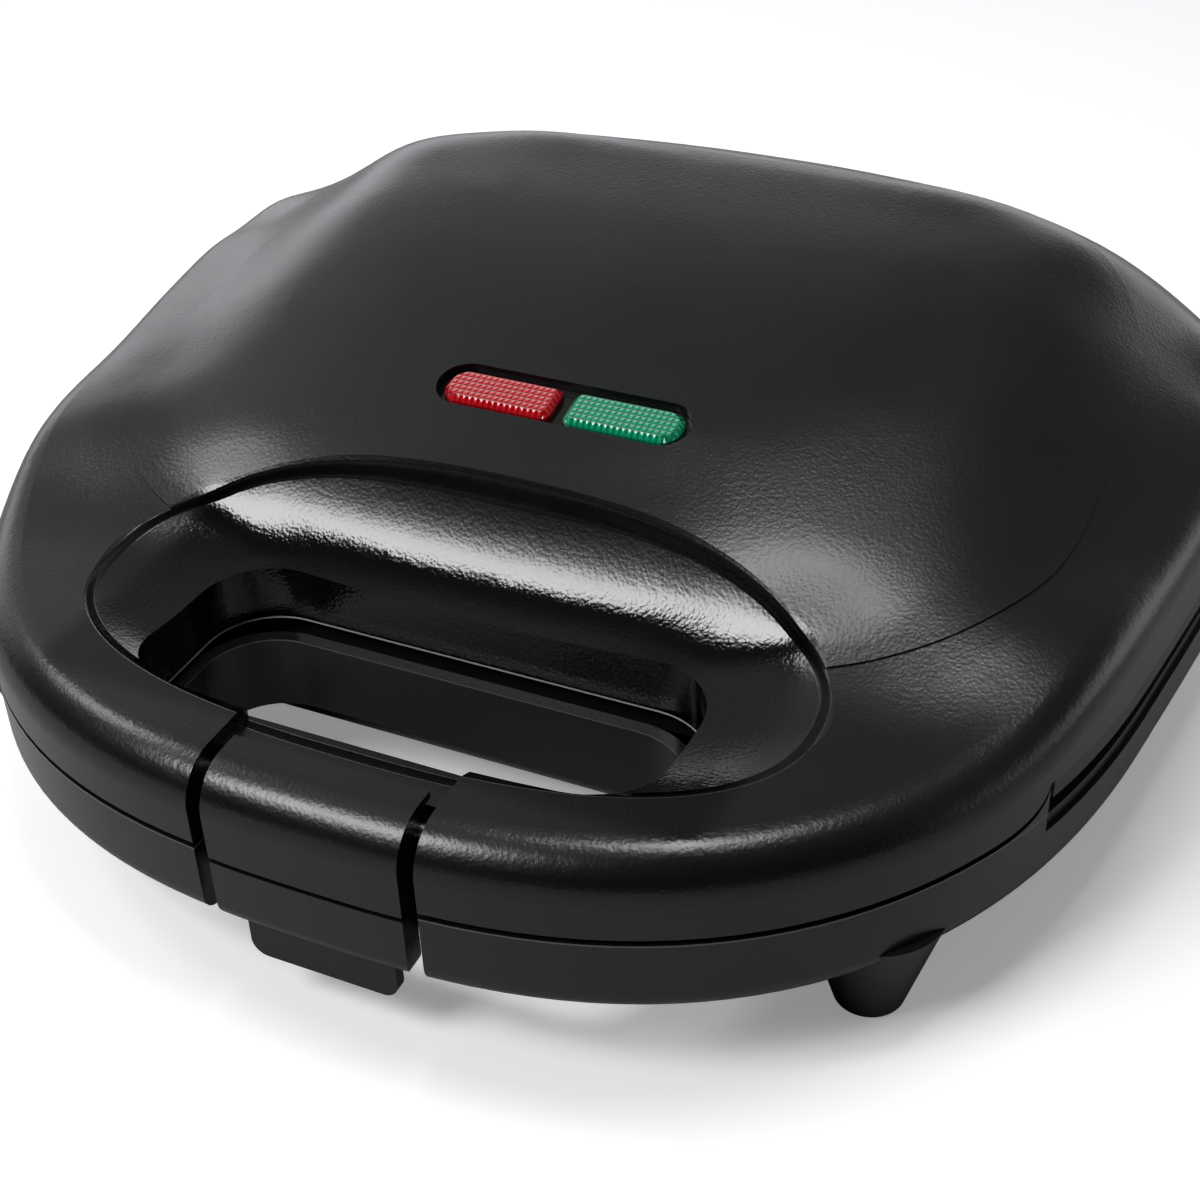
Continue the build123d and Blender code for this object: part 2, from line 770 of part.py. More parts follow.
def make_latch_cover():
    box = block(-latch_half, latch_half, -130, latch_rear_y, latch_cover_bottom_z, 70)
    core = body_form(latch_wall, band_bottom_z + 1, -latch_wall, top_edge_radius - latch_wall, 1.0)
    inside = block(-latch_side_half, latch_side_half, -130, latch_tongue_y, 0, 70)
    cover = (body & box) - (core & inside)
    cover = cover - block(-60, 60, latch_tongue_y, -80, 0, latch_tongue_z)
    cover = cover - rod_x(latch_pin_radius + running_clearance, -60, 60, latch_pivot_y, latch_pivot_z)
    for shank in latch_screw_shanks(latch_upper_screw_z):
        cover = cover - shank
    return cover


def latch_front(half, z0, z1, radius):
    """A block in front of the latch with round lower corners, seen from the front."""
    sketch = Plane.XZ * Pos(0, (z0 + z1) / 2 + 10) * RectangleRounded(2 * half, z1 - z0 + 20, radius)
    tall = extrude(Pos(0, -90, 0) * sketch, 50)
    return tall & block(-half, half, -140, -90, z0, z1)


def make_latch_lower_cover():
    piece = base_outer & latch_front(latch_half, band_bottom_z, latch_lower_top_z, latch_corner_radius)
    inside = outline_face(latch_wall, band_bottom_z + latch_side_wall)
    space = extrude(inside, 30) & block(-latch_side_half, latch_side_half, -130, -90, 0, 60)
    piece = piece - space - block(-60, 60, latch_plate_y + tab_thickness, -80, 0, 60)
    piece = piece - block(-tab_half - running_clearance, tab_half + running_clearance,
                          latch_plate_y - running_clearance, -80, 0, 60)
    for shank in latch_screw_shanks(latch_lower_screw_z):
        piece = piece - shank
    return piece


def make_latch_hook():
    """The carrier behind the covers, with its pin bosses, the hook and the thumb tab."""
    rear = latch_plate_y + tab_thickness
    tab = latch_front(tab_half, tab_bottom_z, latch_split_z, latch_corner_radius)
    low = band_bottom_z + latch_side_wall + running_clearance
    wide = latch_front(latch_plate_half, low, latch_plate_top_z, latch_corner_radius)
    piece = (tab + wide) & block(-60, 60, latch_plate_y, rear, 0, 60)
    hook_half = tab_half - 3
    piece = piece + block(-hook_half, hook_half, rear - 0.5, latch_hook_tip_y, hook_z, hook_z + hook_height)
    for side in (-1, 1):
        x = side * latch_boss_x
        x0 = x - latch_boss_width / 2
        x1 = x + latch_boss_width / 2
        ear = block(x0, x1, rear - 0.8, latch_pivot_y, latch_pivot_z - latch_boss_radius, latch_pivot_z + 0.8)
        piece = piece + ear + rod_x(latch_boss_radius, x0, x1, latch_pivot_y, latch_pivot_z)
    for z in (latch_upper_screw_z, latch_lower_screw_z):
        for shank in latch_screw_shanks(z):
            piece = piece - shank
    return piece - rod_x(latch_pin_radius + pin_clearance, -30, 30, latch_pivot_y, latch_pivot_z)


def make_latch_screws():
    screws = []
    rear = latch_plate_y + tab_thickness
    for z in (latch_upper_screw_z, latch_lower_screw_z):
        for shank in latch_screw_shanks(z):
            x = shank.center().X
            head = Pos(x, rear + latch_screw_head / 2, z) * Rot(90, 0, 0) * Cylinder(small_screw_head, latch_screw_head)
            slot = block(x - 5, x + 5, rear + latch_screw_head / 2, rear + 5, z - 0.4, z + 0.4)
            screws.append(shank + head - slot)
    return screws


def make_latch_spring():
    length = spring_turns * spring_pitch
    coil = Helix(pitch=spring_pitch, height=length, radius=spring_radius)
    start = Plane(origin=coil @ 0, z_dir=coil % 0)
    wound = sweep(start * Circle(spring_wire), path=coil, is_frenet=True)
    return Pos(-length / 2, latch_pivot_y, latch_pivot_z) * Rot(0, 90, 0) * wound


def make_latch_pin():
    half = recess_half + 1.5
    return rod_x(latch_pin_radius, -half, half, latch_pivot_y, latch_pivot_z)


def make_cord_bush():
    rear = waist_y + rear_reach
    turn = Pos(bush_x, 0, bush_z) * Rot(90, 0, 0)
    body_part = Pos(0, 0, -(rear + bush_flange - bush_length / 2)) * Cylinder(bush_radius - 0.02, bush_length)
    flange = Pos(0, 0, -(rear + bush_flange / 2)) * Cylinder(bush_flange_radius, bush_flange)
    return turn * (body_part + flange - Pos(0, 0, -rear) * Cylinder(bush_bore, 40))


def make_cord_clamp():
    bottom = floor_z + clamp_post_height
    bar = block(bush_x - clamp_half, bush_x + clamp_half, clamp_y - clamp_width / 2, clamp_y + clamp_width / 2,
                bottom, bottom + clamp_thickness)
    for side in (-1, 1):
        bar = bar - post(small_screw_radius + 0.05, bush_x + side * clamp_screw_x, clamp_y, 0, 60)
    return bar


def make_cord_clamp_screws():
    top = floor_z + clamp_post_height + clamp_thickness
    screws = []
    for side in (-1, 1):
        x = bush_x + side * clamp_screw_x
        shank = post(small_screw_radius, x, clamp_y, top - small_screw_length, top)
        head = post(small_screw_head, x, clamp_y, top, top + 1.4)
        screws.append(shank + head - screw_slot(x, clamp_y, top + 1.4, small_screw_head))
    return screws


def make_terminal_block():
    piece = block(-terminal_length / 2, terminal_length / 2, wiring_y - terminal_width / 2,
                  wiring_y + terminal_width / 2, belly_floor_z, belly_floor_z + terminal_height)
    for i in range(terminal_bores):
        x = terminal_length * ((i + 0.5) / terminal_bores - 0.5)
        piece = piece - Pos(x, wiring_y, belly_floor_z + 4.5) * Rot(90, 0, 0) * Cylinder(1.8, 40)
        piece = piece - post(2.2, x, wiring_y, belly_floor_z + 4.5, 60)
    return piece


def make_thermostat():
    x0 = thermostat_x - thermostat_length / 2
    x1 = thermostat_x + thermostat_length / 2
    piece = block(x0, x1, wiring_y - 4, wiring_y + 4, belly_floor_z, belly_floor_z + 7)
    return piece + post(3.2, thermostat_x, wiring_y, belly_floor_z + 7, belly_floor_z + 10)


def make_thermal_fuse():
    z = belly_floor_z + fuse_radius
    tube = rod_x(fuse_radius, fuse_x - fuse_length / 2, fuse_x + fuse_length / 2, wiring_y, z)
    return tube + rod_x(0.6, fuse_x - fuse_length / 2 - 6, fuse_x + fuse_length / 2 + 6, wiring_y, z)


def lid_cavity():
    """The space inside the lid: the hollow body less the walls and posts that stand in it."""
    space = hollow - dish_form(shell_wall)
    space = space - rounded_block(lid_slot_half + shell_wall, slot_front_y - shell_wall,
                                  slot_rear_y + shell_wall, slot_corner_radius + shell_wall, 0, dish_low_z + 3)
    half = recess_half + shell_wall
    space = space - block(-half, half, -120, latch_recess_y + shell_wall, 0, 60)
    space = space - block(-half, half, latch_recess_y, slot_front_y + 0.5, saddle_z - shell_wall, 60)
    for x, y in plate_screw_places:
        space = space - post(screw_post_radius, x, y, upper_plate_bottom + plate_flange, 80)
    for column in lid_lamp_posts():
        space = space - column
    return space


saddle_z = handle_top_z - saddle_drop


def make_lid_cover():
    crown = extrude(crown_face(0.0, dish_low_z), 50) - space_above_top(crown_step)
    cover = body + crown
    cover = cover - lid_cavity()
    cover = cover - dish_form(0.0)
    # The parting with the base, with its step in the sides.
    wall_rear_y = slot_rear_y + shell_wall
    cover = cover - block(-140, 140, -130, wall_rear_y, 0, lid_bottom_z)
    cover = cover - block(-140, 140, wall_rear_y, 130, 0, skirt_side_z)
    for strip in both_sides(block(step_side_x, 140, step_y, wall_rear_y + 1, 0, skirt_side_z)):
        cover = cover - strip
    for side in side_prism(step_profile(lid_bottom_z, skirt_side_z)):
        cover = cover - side
    # The slot, the recess for the latch, the saddle behind it and the holes for its pin.
    cover = cover - rounded_block(lid_slot_half, slot_front_y, slot_rear_y, slot_corner_radius, 0, 60)
    cover = cover - block(-recess_half, recess_half, -130, latch_recess_y, 0, 70)
    cover = cover - block(-recess_half, recess_half, latch_recess_y - 1, slot_front_y + 3, saddle_z, 70)
    cover = cover - rod_x(latch_pin_radius, -recess_half - 1.6, recess_half + 1.6, latch_pivot_y, latch_pivot_z)
    # The lamps' opening, and the screw holes.
    cover = cover - lamp_stadium(0.0, -shell_wall - 6, 10)
    for hole in lid_lamp_holes():
        cover = cover - hole
    for x, y in plate_screw_places:
        cover = cover - post(plate_screw_radius, x, y, 0, upper_plate_bottom + plate_screw_length)
    return cover


def build():
    save("base_cover", make_base_cover())
    save("base_rim_frame", make_base_rim_frame())
    lower_plate = make_lower_plate()
    save("lower_plate", lower_plate)
    save("upper_plate", flipped(lower_plate))
    plate_screws = make_lower_plate_screws()
    save("lower_plate_screws", plate_screws)
    save("upper_plate_screws", flipped(plate_screws))
    heater = make_heater()
    save("lower_heater", heater)
    save("upper_heater", flipped(heater))
    clips = make_heater_clips()
    save("lower_heater_clips", clips)
    save("upper_heater_clips", flipped(clips))
    shield = make_heat_shield()
    save("lower_heat_shield", shield)
    save("upper_heat_shield", flipped(shield))
    save("feet", make_feet())
    save("foot_pads", make_foot_pads())
    save("hinge_pins", make_hinge_pins())
    save("cord_bush", make_cord_bush())
    save("cord_clamp", make_cord_clamp())
    save("cord_clamp_screws", make_cord_clamp_screws())
    save("terminal_block", make_terminal_block())
    save("thermostat", make_thermostat())
    save("thermal_fuse", make_thermal_fuse())
    save("lid_rim_frame", make_lid_rim_frame())
    save("lamp_bezel", make_lamp_bezel())
    save("red_lens", make_lens(-1))
    save("green_lens", make_lens(1))
    save("red_lamp", make_lamp(-1))
    save("green_lamp", make_lamp(1))
    save("lamp_holder", make_lamp_holder())
    save("lamp_holder_screws", make_lamp_holder_screws())
    save("latch_pin", make_latch_pin())
    save("latch_cover", make_latch_cover())
    save("latch_lower_cover", make_latch_lower_cover())
    save("latch_hook", make_latch_hook())
    save("latch_screws", make_latch_screws())
    save("latch_spring", make_latch_spring())
    save("lid_cover", make_lid_cover())


build()
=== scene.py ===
# %% [markdown]
# # A sandwich maker with a grained black lid
# The machine is already built as solid parts in their true places, so this lesson only loads them,
# gives each part its finish, adds the small details that solids leave out, and sets up the studio.
# Loading comes first, because every later step asks the loaded parts where they are.

# %% Load the parts
import json
import math
import bmesh
import bpy
from mathutils import Matrix, Vector

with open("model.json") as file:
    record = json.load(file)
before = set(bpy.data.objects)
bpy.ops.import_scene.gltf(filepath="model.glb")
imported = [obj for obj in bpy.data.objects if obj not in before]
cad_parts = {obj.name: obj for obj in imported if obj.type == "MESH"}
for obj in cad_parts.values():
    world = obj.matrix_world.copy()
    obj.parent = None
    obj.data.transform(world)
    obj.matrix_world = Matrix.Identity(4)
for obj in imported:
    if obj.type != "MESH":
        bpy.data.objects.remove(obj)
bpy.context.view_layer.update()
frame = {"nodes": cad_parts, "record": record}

# %% [markdown]
# ## The camera
# The photograph looks down at the machine from its front right, through a short telephoto lens.
# Two angles give the view, three offsets give the eye's place, and a small roll turns the frame.
# A matrix made of the three view directions places all of that at once.
# A tracking target would be simpler, but it leaves no room for a roll.

# %% Camera
azimuth = math.radians(26.09)
elevation = math.radians(35.41)
roll = math.radians(-2.26)
eye_left = 0.001334
eye_down = 0.03061
eye_back = 0.3868
target = Vector((0.0, 0.0065, 0.0495))

right = Vector((math.cos(azimuth), math.sin(azimuth), 0.0))
forward = Vector((-math.sin(azimuth) * math.cos(elevation), math.cos(azimuth) * math.cos(elevation),
                  -math.sin(elevation)))
upward = right.cross(forward)
eye = target - eye_left * right - eye_down * upward - eye_back * forward
across = math.cos(roll) * right + math.sin(roll) * upward
above = math.cos(roll) * upward - math.sin(roll) * right

camera_data = bpy.data.cameras.new("camera")
camera_data.lens = 60.0
camera_data.sensor_width = 36.0
camera_data.clip_start = 0.01
camera = bpy.data.objects.new("camera", camera_data)
bpy.context.scene.collection.objects.link(camera)
camera.matrix_world = Matrix((
    (across.x, above.x, -forward.x, eye.x),
    (across.y, above.y, -forward.y, eye.y),
    (across.z, above.z, -forward.z, eye.z),
    (0.0, 0.0, 0.0, 1.0),
))
bpy.context.scene.camera = camera
print("eye point:", [round(value, 4) for value in eye])

# %% [markdown]
# ## Helpers for node trees
# Masks, skies and bumps are sums and products of a few values, and need many nodes each.
# Four small functions keep that short: they add a sum or product, a smooth change, a mix of
# two colours, and the coordinates of a point, to any node tree.

# %% Node helpers


def calc(tree, operation, *values):
    """A Math node; its values are plain numbers or the outputs of other nodes."""
    node = tree.nodes.new("ShaderNodeMath")
    node.operation = operation
    for k, value in enumerate(values):
        if isinstance(value, float):
            node.inputs[k].default_value = value
        else:
            tree.links.new(value, node.inputs[k])
    return node.outputs[0]


def smooth_change(tree, value, start, end, low, high):
    """A value that goes smoothly from low to high while the input goes from start to end."""
    node = tree.nodes.new("ShaderNodeMapRange")
    node.interpolation_type = "SMOOTHSTEP"
    node.inputs["From Min"].default_value = start
    node.inputs["From Max"].default_value = end
    node.inputs["To Min"].default_value = low
    node.inputs["To Max"].default_value = high
    tree.links.new(value, node.inputs["Value"])
    return node.outputs["Result"]


def tint_base(tree, factor, other):
    """Mix another colour into what the Principled shader has, or gets, as its base colour."""
    base = tree.nodes["Principled BSDF"].inputs["Base Color"]
    mix = tree.nodes.new("ShaderNodeMix")
    mix.data_type = "RGBA"
    if base.links:
        tree.links.new(base.links[0].from_socket, mix.inputs["A"])
    else:
        mix.inputs["A"].default_value = base.default_value
    mix.inputs["B"].default_value = (*other, 1.0)
    tree.links.new(factor, mix.inputs["Factor"])
    tree.links.new(mix.outputs["Result"], base)


def place_parts(tree, output="Object"):
    """The X, Y and Z of a point in the part's own coordinates, or of a direction of the world."""
    place = tree.nodes.new("ShaderNodeTexCoord")
    parts = tree.nodes.new("ShaderNodeSeparateXYZ")
    tree.links.new(place.outputs[output], parts.inputs["Vector"])
    return parts.outputs


print("helpers ready")

# %% [markdown]
# ## The floor
# The machine stands on a pale sweep that fills the whole picture.
# The camera sees it nearly white, but the black plastic should mirror a darker surface.
# The Is Camera Ray output tells the two apart, which keeps the lamps weak and the floor bright.

# %% Floor
floor_mesh = bpy.data.meshes.new("floor")
floor_bm = bmesh.new()
bmesh.ops.create_grid(floor_bm, x_segments=1, y_segments=1, size=6.0)
floor_bm.to_mesh(floor_mesh)
floor_bm.free()
floor = bpy.data.objects.new("floor", floor_mesh)
bpy.context.scene.collection.objects.link(floor)

mirrored_grey = (0.42, 0.425, 0.43)
seen_white = (0.92, 0.925, 0.935)
seen_glow = 0.26
floor_paint = bpy.data.materials.new("pale_sweep")
floor_paint.use_nodes = True
floor_tree = floor_paint.node_tree
floor_shader = floor_tree.nodes["Principled BSDF"]
floor_shader.inputs["Base Color"].default_value = (*mirrored_grey, 1.0)
floor_shader.inputs["Emission Color"].default_value = (0.97, 0.98, 1.0, 1.0)
floor_shader.inputs["Roughness"].default_value = 0.75
floor_shader.inputs["Specular IOR Level"].default_value = 0.2
seen = floor_tree.nodes.new("ShaderNodeLightPath").outputs["Is Camera Ray"]
tint_base(floor_tree, seen, seen_white)
glow = calc(floor_tree, "MULTIPLY", seen, seen_glow)
floor_tree.links.new(glow, floor_shader.inputs["Emission Strength"])
floor_mesh.materials.append(floor_paint)
print("floor painted with", floor_paint.name)

# %% [markdown]
# ## The world
# A black machine is mostly seen by what it mirrors, so the world matters as much as the lamps.
# It is bright low down at the back, where a studio's white sweep rises, and dark in front,
# where the room is.
# A plain grey world would be simpler, but it would turn every black face the same grey.

# %% World
world = bpy.data.worlds.new("studio")
world.use_nodes = True
sky = world.node_tree
toward = place_parts(sky, "Generated")


def sky_patch(first, first_ramp, second, second_ramp):
    """A patch of light, where two changes along two directions of the world are both bright.

    A ramp is the start and the end of a change, then the brightness at each of them.
    """
    return calc(sky, "MULTIPLY", smooth_change(sky, toward[first], *first_ramp),
                smooth_change(sky, toward[second], *second_ramp))


sweep_behind = sky_patch("Y", (-0.15, 0.5, 0.0, 1.0), "Z", (0.22, 0.45, 1.6, 0.0))
glow_left = sky_patch("X", (-0.15, -0.7, 0.0, 1.0), "Y", (-0.1, 0.4, 0.0, 0.3))
room_above = sky_patch("Y", (-0.6, 0.4, 0.1, 1.0), "Z", (0.1, 0.9, 0.04, 0.17))
sky_total = calc(sky, "ADD", calc(sky, "ADD", sweep_behind, glow_left), room_above)
sky.nodes["Background"].inputs["Color"].default_value = (0.95, 0.97, 1.0, 1.0)
sky.links.new(sky_total, sky.nodes["Background"].inputs["Strength"])
bpy.context.scene.world = world
bpy.context.scene.view_settings.view_transform = "Standard"
print("world:", world.name, "with", len(sky.nodes), "nodes")

# %% [markdown]
# ## The lamps
# One soft light hangs overhead, a weak one stands at the left, and the strongest comes from the
# front left. Together they make the soft highlights in the dish, beside it and along the handle.
# Wide lamps give long soft highlights; small ones would leave hard spots on the satin plastic.

# %% Lamps


def soft_light(name, place, width, height, power):
    """An area light that faces the middle of the machine."""
    middle = Vector((0.0, 0.0, 0.04))
    data = bpy.data.lights.new(name, "AREA")
    data.shape = "RECTANGLE"
    data.size = width
    data.size_y = height
    data.energy = power
    light = bpy.data.objects.new(name, data)
    bpy.context.scene.collection.objects.link(light)
    facing = (middle - Vector(place)).to_track_quat("-Z", "Y")
    light.matrix_world = Matrix.Translation(place) @ facing.to_matrix().to_4x4()


soft_light("overhead", (0.04, 0.09, 1.05), width=0.36, height=0.26, power=3.3)
soft_light("left", (-0.8, 0.0, 0.84), width=0.26, height=0.26, power=2.0)
soft_light("front_left", (-0.44, -0.66, 0.9), width=0.46, height=0.4, power=9.0)

# %% [markdown]
# ## Moulded plastic
# The black covers are all moulded plastic, but the moulds differ: the lid is etched with a fine
# grain, the band under it is only satin, and the finger slot is polished.
# One shared group makes the grain, so each material can set its own size and depth.

# %% Grain group


def make_grain_group():
    """A fine etched grain: a height and a mask that vary over the surface."""
    group = bpy.data.node_groups.new("etched_grain", "ShaderNodeTree")
    group.interface.new_socket("Scale", in_out="INPUT", socket_type="NodeSocketFloat")
    group.interface.new_socket("Wander", in_out="INPUT", socket_type="NodeSocketFloat")
    group.interface.new_socket("Height", in_out="OUTPUT", socket_type="NodeSocketFloat")
    group.interface.new_socket("Blotch", in_out="OUTPUT", socket_type="NodeSocketFloat")
    nodes, links = group.nodes, group.links
    enter = nodes.new("NodeGroupInput")
    leave = nodes.new("NodeGroupOutput")
    place = nodes.new("ShaderNodeTexCoord")
    cells = nodes.new("ShaderNodeTexVoronoi")
    cells.feature = "SMOOTH_F1"
    cells.inputs["Smoothness"].default_value = 0.6
    specks = nodes.new("ShaderNodeTexNoise")
    specks.inputs["Detail"].default_value = 3.0
    blotch = nodes.new("ShaderNodeTexNoise")
    blotch.inputs["Scale"].default_value = 28.0
    blotch.inputs["Detail"].default_value = 4.0
    for texture in (cells, specks, blotch):
        links.new(place.outputs["Object"], texture.inputs["Vector"])
    speck_scale = calc(group, "MULTIPLY", enter.outputs["Scale"], 1.7)
    links.new(enter.outputs["Scale"], cells.inputs["Scale"])
    links.new(speck_scale, specks.inputs["Scale"])
    height = calc(group, "MULTIPLY_ADD", specks.outputs["Fac"], enter.outputs["Wander"],
                  cells.outputs["Distance"])
    links.new(height, leave.inputs["Height"])
    links.new(blotch.outputs["Fac"], leave.inputs["Blotch"])
    return group


grain_group = make_grain_group()
print("shared group:", grain_group.name)

# %% [markdown]
# ## The finishes
# A finish is a colour, a range of roughness and the grain's size and depth.
# Steel and sheet use the same group with a very shallow grain, because no real metal is even.

# %% Finishes


def new_material(name, color, roughness, metallic=0.0):
    """A material whose Principled shader has this colour, roughness and share of metal."""
    material = bpy.data.materials.new(name)
    material.use_nodes = True
    shader = material.node_tree.nodes["Principled BSDF"]
    shader.inputs["Base Color"].default_value = (*color, 1.0)
    shader.inputs["Roughness"].default_value = roughness
    shader.inputs["Metallic"].default_value = metallic
    return material


def add_bump(material, height, strength, depth):
    """A bump over whatever the shader's normal already has."""
    tree = material.node_tree
    normal = tree.nodes["Principled BSDF"].inputs["Normal"]
    bump = tree.nodes.new("ShaderNodeBump")
    bump.inputs["Strength"].default_value = strength
    bump.inputs["Distance"].default_value = depth
    tree.links.new(height, bump.inputs["Height"])
    if normal.links:
        tree.links.new(normal.links[0].from_socket, bump.inputs["Normal"])
    tree.links.new(bump.outputs["Normal"], normal)


def grained(name, color, rough, scale, wander, depth, strength, metallic=0.0):
    """A finish with the grain group; rough is a middle, a lowest and a highest roughness."""
    middle, lowest, highest = rough
    material = new_material(name, color, middle, metallic)
    tree = material.node_tree
    grain = tree.nodes.new("ShaderNodeGroup")
    grain.node_tree = grain_group
    grain.inputs["Scale"].default_value = scale
    grain.inputs["Wander"].default_value = wander
    add_bump(material, grain.outputs["Height"], strength, depth)
    gloss = tree.nodes.new("ShaderNodeMapRange")
    gloss.inputs["From Min"].default_value = 0.3
    gloss.inputs["From Max"].default_value = 0.7
    gloss.inputs["To Min"].default_value = lowest
    gloss.inputs["To Max"].default_value = highest
    tree.links.new(grain.outputs["Blotch"], gloss.inputs["Value"])
    tree.links.new(gloss.outputs["Result"], tree.nodes["Principled BSDF"].inputs["Roughness"])
    return material


shell_finish = grained("grained_lid", (0.004, 0.004, 0.0043), (0.28, 0.26, 0.31),
                       scale=1400.0, wander=0.8, depth=0.00006, strength=0.45)
band_finish = grained("satin_band", (0.005, 0.005, 0.0053), (0.26, 0.23, 0.28),
                      scale=2600.0, wander=0.5, depth=0.00002, strength=0.3)
matt_finish = grained("matt_plastic", (0.005, 0.005, 0.0053), (0.4, 0.36, 0.44),
                      scale=1800.0, wander=0.8, depth=0.00004, strength=0.5)
rubber_finish = grained("foot_rubber", (0.01, 0.01, 0.01), (0.8, 0.75, 0.85),
                        scale=1200.0, wander=0.9, depth=0.00006, strength=0.6)
plate_finish = grained("nonstick", (0.022, 0.022, 0.023), (0.42, 0.36, 0.46),
                       scale=1400.0, wander=0.9, depth=0.00005, strength=0.4)
steel_finish = grained("plain_steel", (0.56, 0.56, 0.57), (0.3, 0.24, 0.36),
                       scale=900.0, wander=0.4, depth=0.00001, strength=0.3, metallic=1.0)
shield_finish = grained("rolled_sheet", (0.72, 0.72, 0.74), (0.35, 0.28, 0.45),
                        scale=300.0, wander=0.9, depth=0.00003, strength=0.3, metallic=1.0)
pale_finish = grained("pale_moulding", (0.72, 0.7, 0.66), (0.4, 0.35, 0.45),
                      scale=1000.0, wander=0.5, depth=0.00002, strength=0.3)
bezel_finish = grained("gloss_bezel", (0.006, 0.006, 0.006), (0.12, 0.08, 0.16),
                       scale=600.0, wander=0.3, depth=0.000005, strength=0.2)
print("finishes:", [material.name for material in bpy.data.materials])

# %% [markdown]
# ## The polished slot
# The mould of the lid is etched everywhere except low in the dish, where the fingers go in.
# A mask made from the place on the part finds that region, so the solid needs no extra edges.
# Inside the mask the plastic is smoother, so it mirrors the dark room, and its colour is darker as
# painted shade low in the dish.

# %% Polished region


def soft_box(tree, low, high, soft):
    """A mask that is one inside a box in the part's coordinates and fades to zero outside."""
    parts = place_parts(tree)
    result = None
    for axis, first, last in zip("XYZ", low, high):
        half = (last - first) / 2
        away = calc(tree, "ABSOLUTE", calc(tree, "SUBTRACT", parts[axis], (first + last) / 2))
        inside = smooth_change(tree, away, half - soft, half + soft, 1.0, 0.0)
        result = inside if result is None else calc(tree, "MULTIPLY", result, inside)
    return result


polished_roughness = 0.1
# painted shade: a darker black for the low part of the dish, where the fingers go in
slot_painted_shade = (0.0006, 0.0006, 0.0006)
shell_tree = shell_finish.node_tree
shell_rough = shell_tree.nodes["Principled BSDF"].inputs["Roughness"]
polished_and_shaded = soft_box(shell_tree, (-0.06, -0.0905, 0.0), (0.06, -0.037, 0.0525), soft=0.0035)
rough_mix = shell_tree.nodes.new("ShaderNodeMix")
rough_mix.inputs["B"].default_value = polished_roughness
shell_tree.links.new(polished_and_shaded, rough_mix.inputs["Factor"])
shell_tree.links.new(shell_rough.links[0].from_socket, rough_mix.inputs["A"])
shell_tree.links.new(rough_mix.outputs["Result"], shell_rough)
# the mask tints this region with the painted shade
tint_base(shell_tree, polished_and_shaded, slot_painted_shade)
print("polished region added to", shell_finish.name)

# %% [markdown]
# ## The lip of the dish
# A narrow step runs all round the dish, and it catches one thin line of light.
# The dish is a superellipse in plan, so one formula gives the distance to its rim everywhere.
# That distance makes the height of a bump, so the step follows the rim without another solid.

# %% Lip of the dish


def dish_lip(material, middle_y, half, rear, front, roundness, band, depth):
    """A step along the rim of the dish, as a second bump over the grain."""
    tree = material.node_tree
    parts = place_parts(tree)
    x = calc(tree, "ABSOLUTE", parts["X"])
    offset = calc(tree, "SUBTRACT", parts["Y"], middle_y)
    y = calc(tree, "ABSOLUTE", offset)
    ahead = calc(tree, "LESS_THAN", offset, 0.0)
    reach = calc(tree, "MULTIPLY_ADD", ahead, front - rear, rear)
    share_x = calc(tree, "POWER", calc(tree, "DIVIDE", x, half), roundness)
    share_y = calc(tree, "POWER", calc(tree, "DIVIDE", y, reach), roundness)
    out = calc(tree, "POWER", calc(tree, "ADD", share_x, share_y), 1.0 / roundness)
    squares = calc(tree, "ADD", calc(tree, "MULTIPLY", x, x), calc(tree, "MULTIPLY", y, y))
    short_of_rim = calc(tree, "SUBTRACT", calc(tree, "DIVIDE", 1.0, out), 1.0)
    inward = calc(tree, "MULTIPLY", short_of_rim, calc(tree, "SQRT", squares))
    step = smooth_change(tree, inward, 0.0, band, 1.0, 0.0)
    add_bump(material, step, strength=1.0, depth=depth)


dish_lip(shell_finish, middle_y=-0.058, half=0.0685, rear=0.0293, front=0.033, roundness=2.4,
         band=0.0024, depth=0.0014)
print("lip added to", shell_finish.name)

# %% [markdown]
# ## Painted edge highlights
# A moulded edge is never quite sharp, and its tiny rounding catches one thin line of light.
# A mask box only a fraction of a millimetre high paints that line beside the edge as a painted
# highlight.

# %% Painted edge highlights


def painted_edge_highlight(material, low, high, color):
    """A painted highlight: a thin line of a paler colour, where a flat mask box meets the surface.
    """
    mask = soft_box(material.node_tree, low, high, soft=0.00003)
    tint_base(material.node_tree, mask, color)


# painted highlights: pale lines along the lid's lower edge at the slot and along the band's top
# edge
painted_edge_highlight(shell_finish, (-0.05, -0.0885, 0.03312), (0.05, -0.045, 0.0335), (0.45, 0.45, 0.46))
painted_edge_highlight(band_finish, (-0.12, -0.11, 0.0316), (0.12, -0.04, 0.03188), (0.1, 0.1, 0.102))
print("edge lines on", shell_finish.name, "and", band_finish.name)
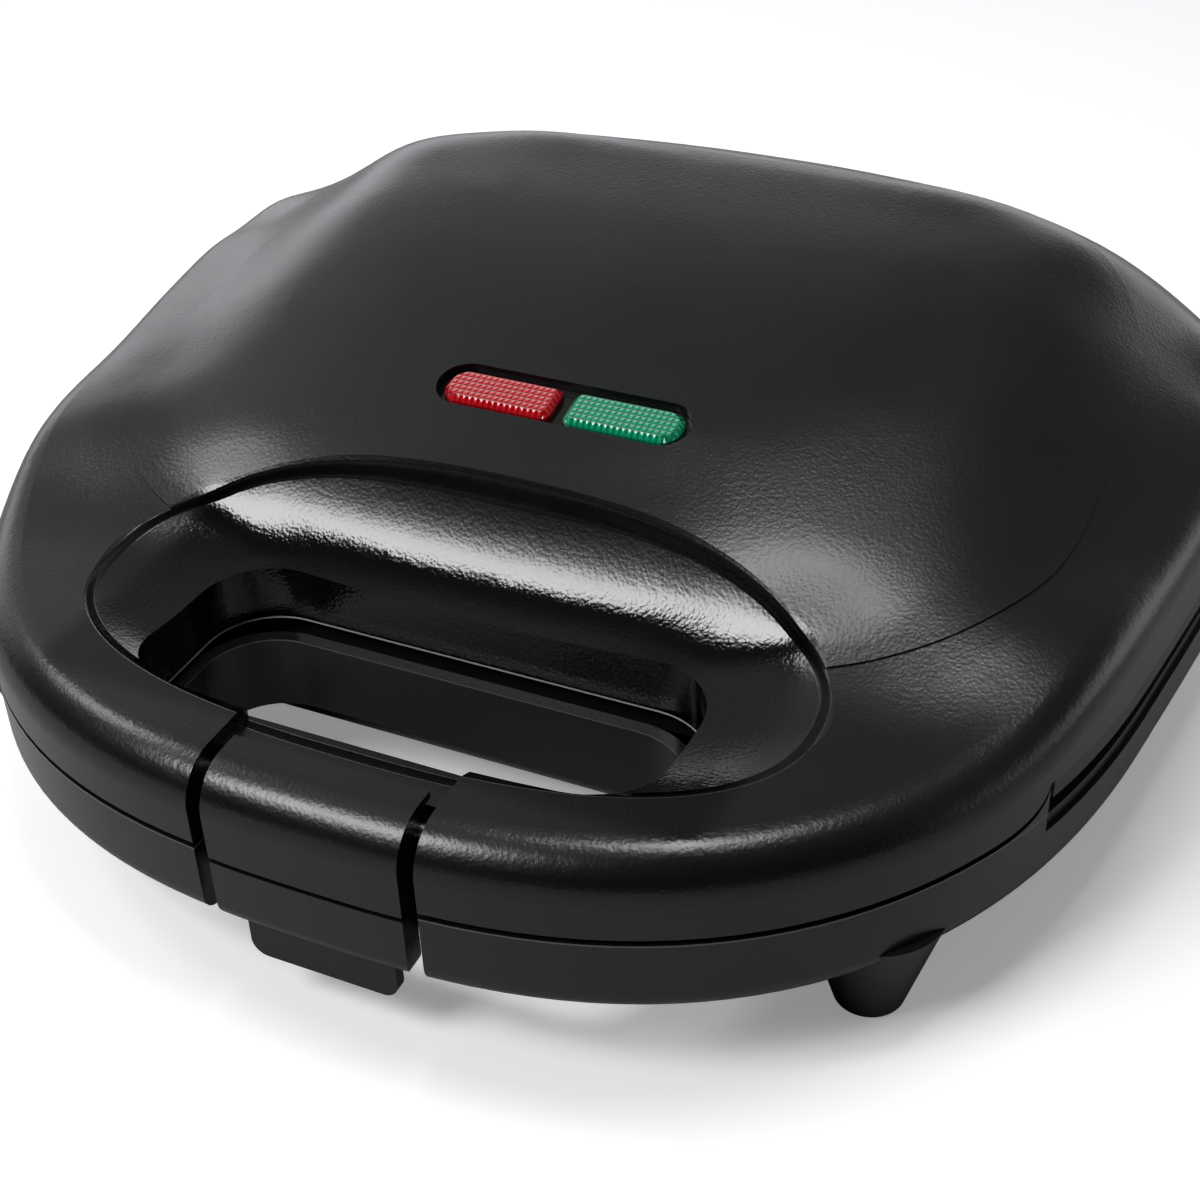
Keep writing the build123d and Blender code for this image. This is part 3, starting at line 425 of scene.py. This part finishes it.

# %% [markdown]
# ## Lamp lenses
# The lenses are clear coloured plastic with a grid of small pyramids moulded in.
# The grid is the lower of two sets of parallel ridges, one that repeats along X and one along Y.
# It is a bump, and it also paints shade between the pyramids, where the colour is deeper.

# %% Pyramid grid


def make_ridge_group():
    """Square pyramids in rows: a height that repeats along X and along Y."""
    group = bpy.data.node_groups.new("pyramid_grid", "ShaderNodeTree")
    group.interface.new_socket("Pitch", in_out="INPUT", socket_type="NodeSocketFloat")
    group.interface.new_socket("Height", in_out="OUTPUT", socket_type="NodeSocketFloat")
    pitch = group.nodes.new("NodeGroupInput").outputs["Pitch"]
    leave = group.nodes.new("NodeGroupOutput")
    parts = place_parts(group)
    ridges = [calc(group, "PINGPONG", parts[axis], pitch) for axis in "XY"]
    height = calc(group, "DIVIDE", calc(group, "MINIMUM", *ridges), pitch)
    group.links.new(height, leave.inputs["Height"])
    return group


ridge_group = make_ridge_group()
print("shared group:", ridge_group.name)

# %% Clear plastics


def clear_plastic(name, color):
    """A clear coloured plastic with a polished coat."""
    material = new_material(name, color, 0.08)
    shader = material.node_tree.nodes["Principled BSDF"]
    shader.inputs["Transmission Weight"].default_value = 0.25
    shader.inputs["IOR"].default_value = 1.49
    shader.inputs["Coat Weight"].default_value = 0.6
    shader.inputs["Coat Roughness"].default_value = 0.05
    return material


def lens_plastic(name, valley_shade_colour, full, pitch):
    """A clear plastic with pyramids: a deeper colour between them as painted shade, full colour on
    their tips.
    """
    material = clear_plastic(name, valley_shade_colour)
    grid = material.node_tree.nodes.new("ShaderNodeGroup")
    grid.node_tree = ridge_group
    grid.inputs["Pitch"].default_value = pitch
    add_bump(material, grid.outputs["Height"], strength=0.6, depth=0.0004)
    tint_base(material.node_tree, grid.outputs["Height"], full)
    return material


lens_pitch = 0.0006
# the first colour is the painted shade between the pyramids, the second the colour on their tips
red_finish = lens_plastic("red_lens", (0.3, 0.0, 0.004), (0.95, 0.02, 0.03), lens_pitch)
green_finish = lens_plastic("green_lens", (0.0, 0.16, 0.07), (0.01, 0.6, 0.3), lens_pitch)
lamp_finish = clear_plastic("lamp_glass", (0.85, 0.85, 0.85))
print("clear plastics:", red_finish.name, green_finish.name, lamp_finish.name)

# %% [markdown]
# ## Give out the finishes
# The record says which material slot each part has, so the finishes are given out by slot.
# Only the lamps' surround differs from the other parts of its slot: it is glossy.

# %% Give out the finishes
by_slot = {
    "shell_black": shell_finish,
    "band_black": band_finish,
    "frame_black": matt_finish,
    "nonstick": plate_finish,
    "steel": steel_finish,
    "shield_metal": shield_finish,
    "foot_rubber": rubber_finish,
    "red_clear": red_finish,
    "green_clear": green_finish,
    "lamp_glass": lamp_finish,
    "pale_plastic": pale_finish,
}
finish_of = {item["node"]: by_slot[item["material_slot"]] for item in frame["record"]["subparts"]}
finish_of["lamp_bezel"] = bezel_finish

for name, item in frame["nodes"].items():
    item.data.materials.clear()
    item.data.materials.append(finish_of[name])
print("finishes given to", len(finish_of), "parts")
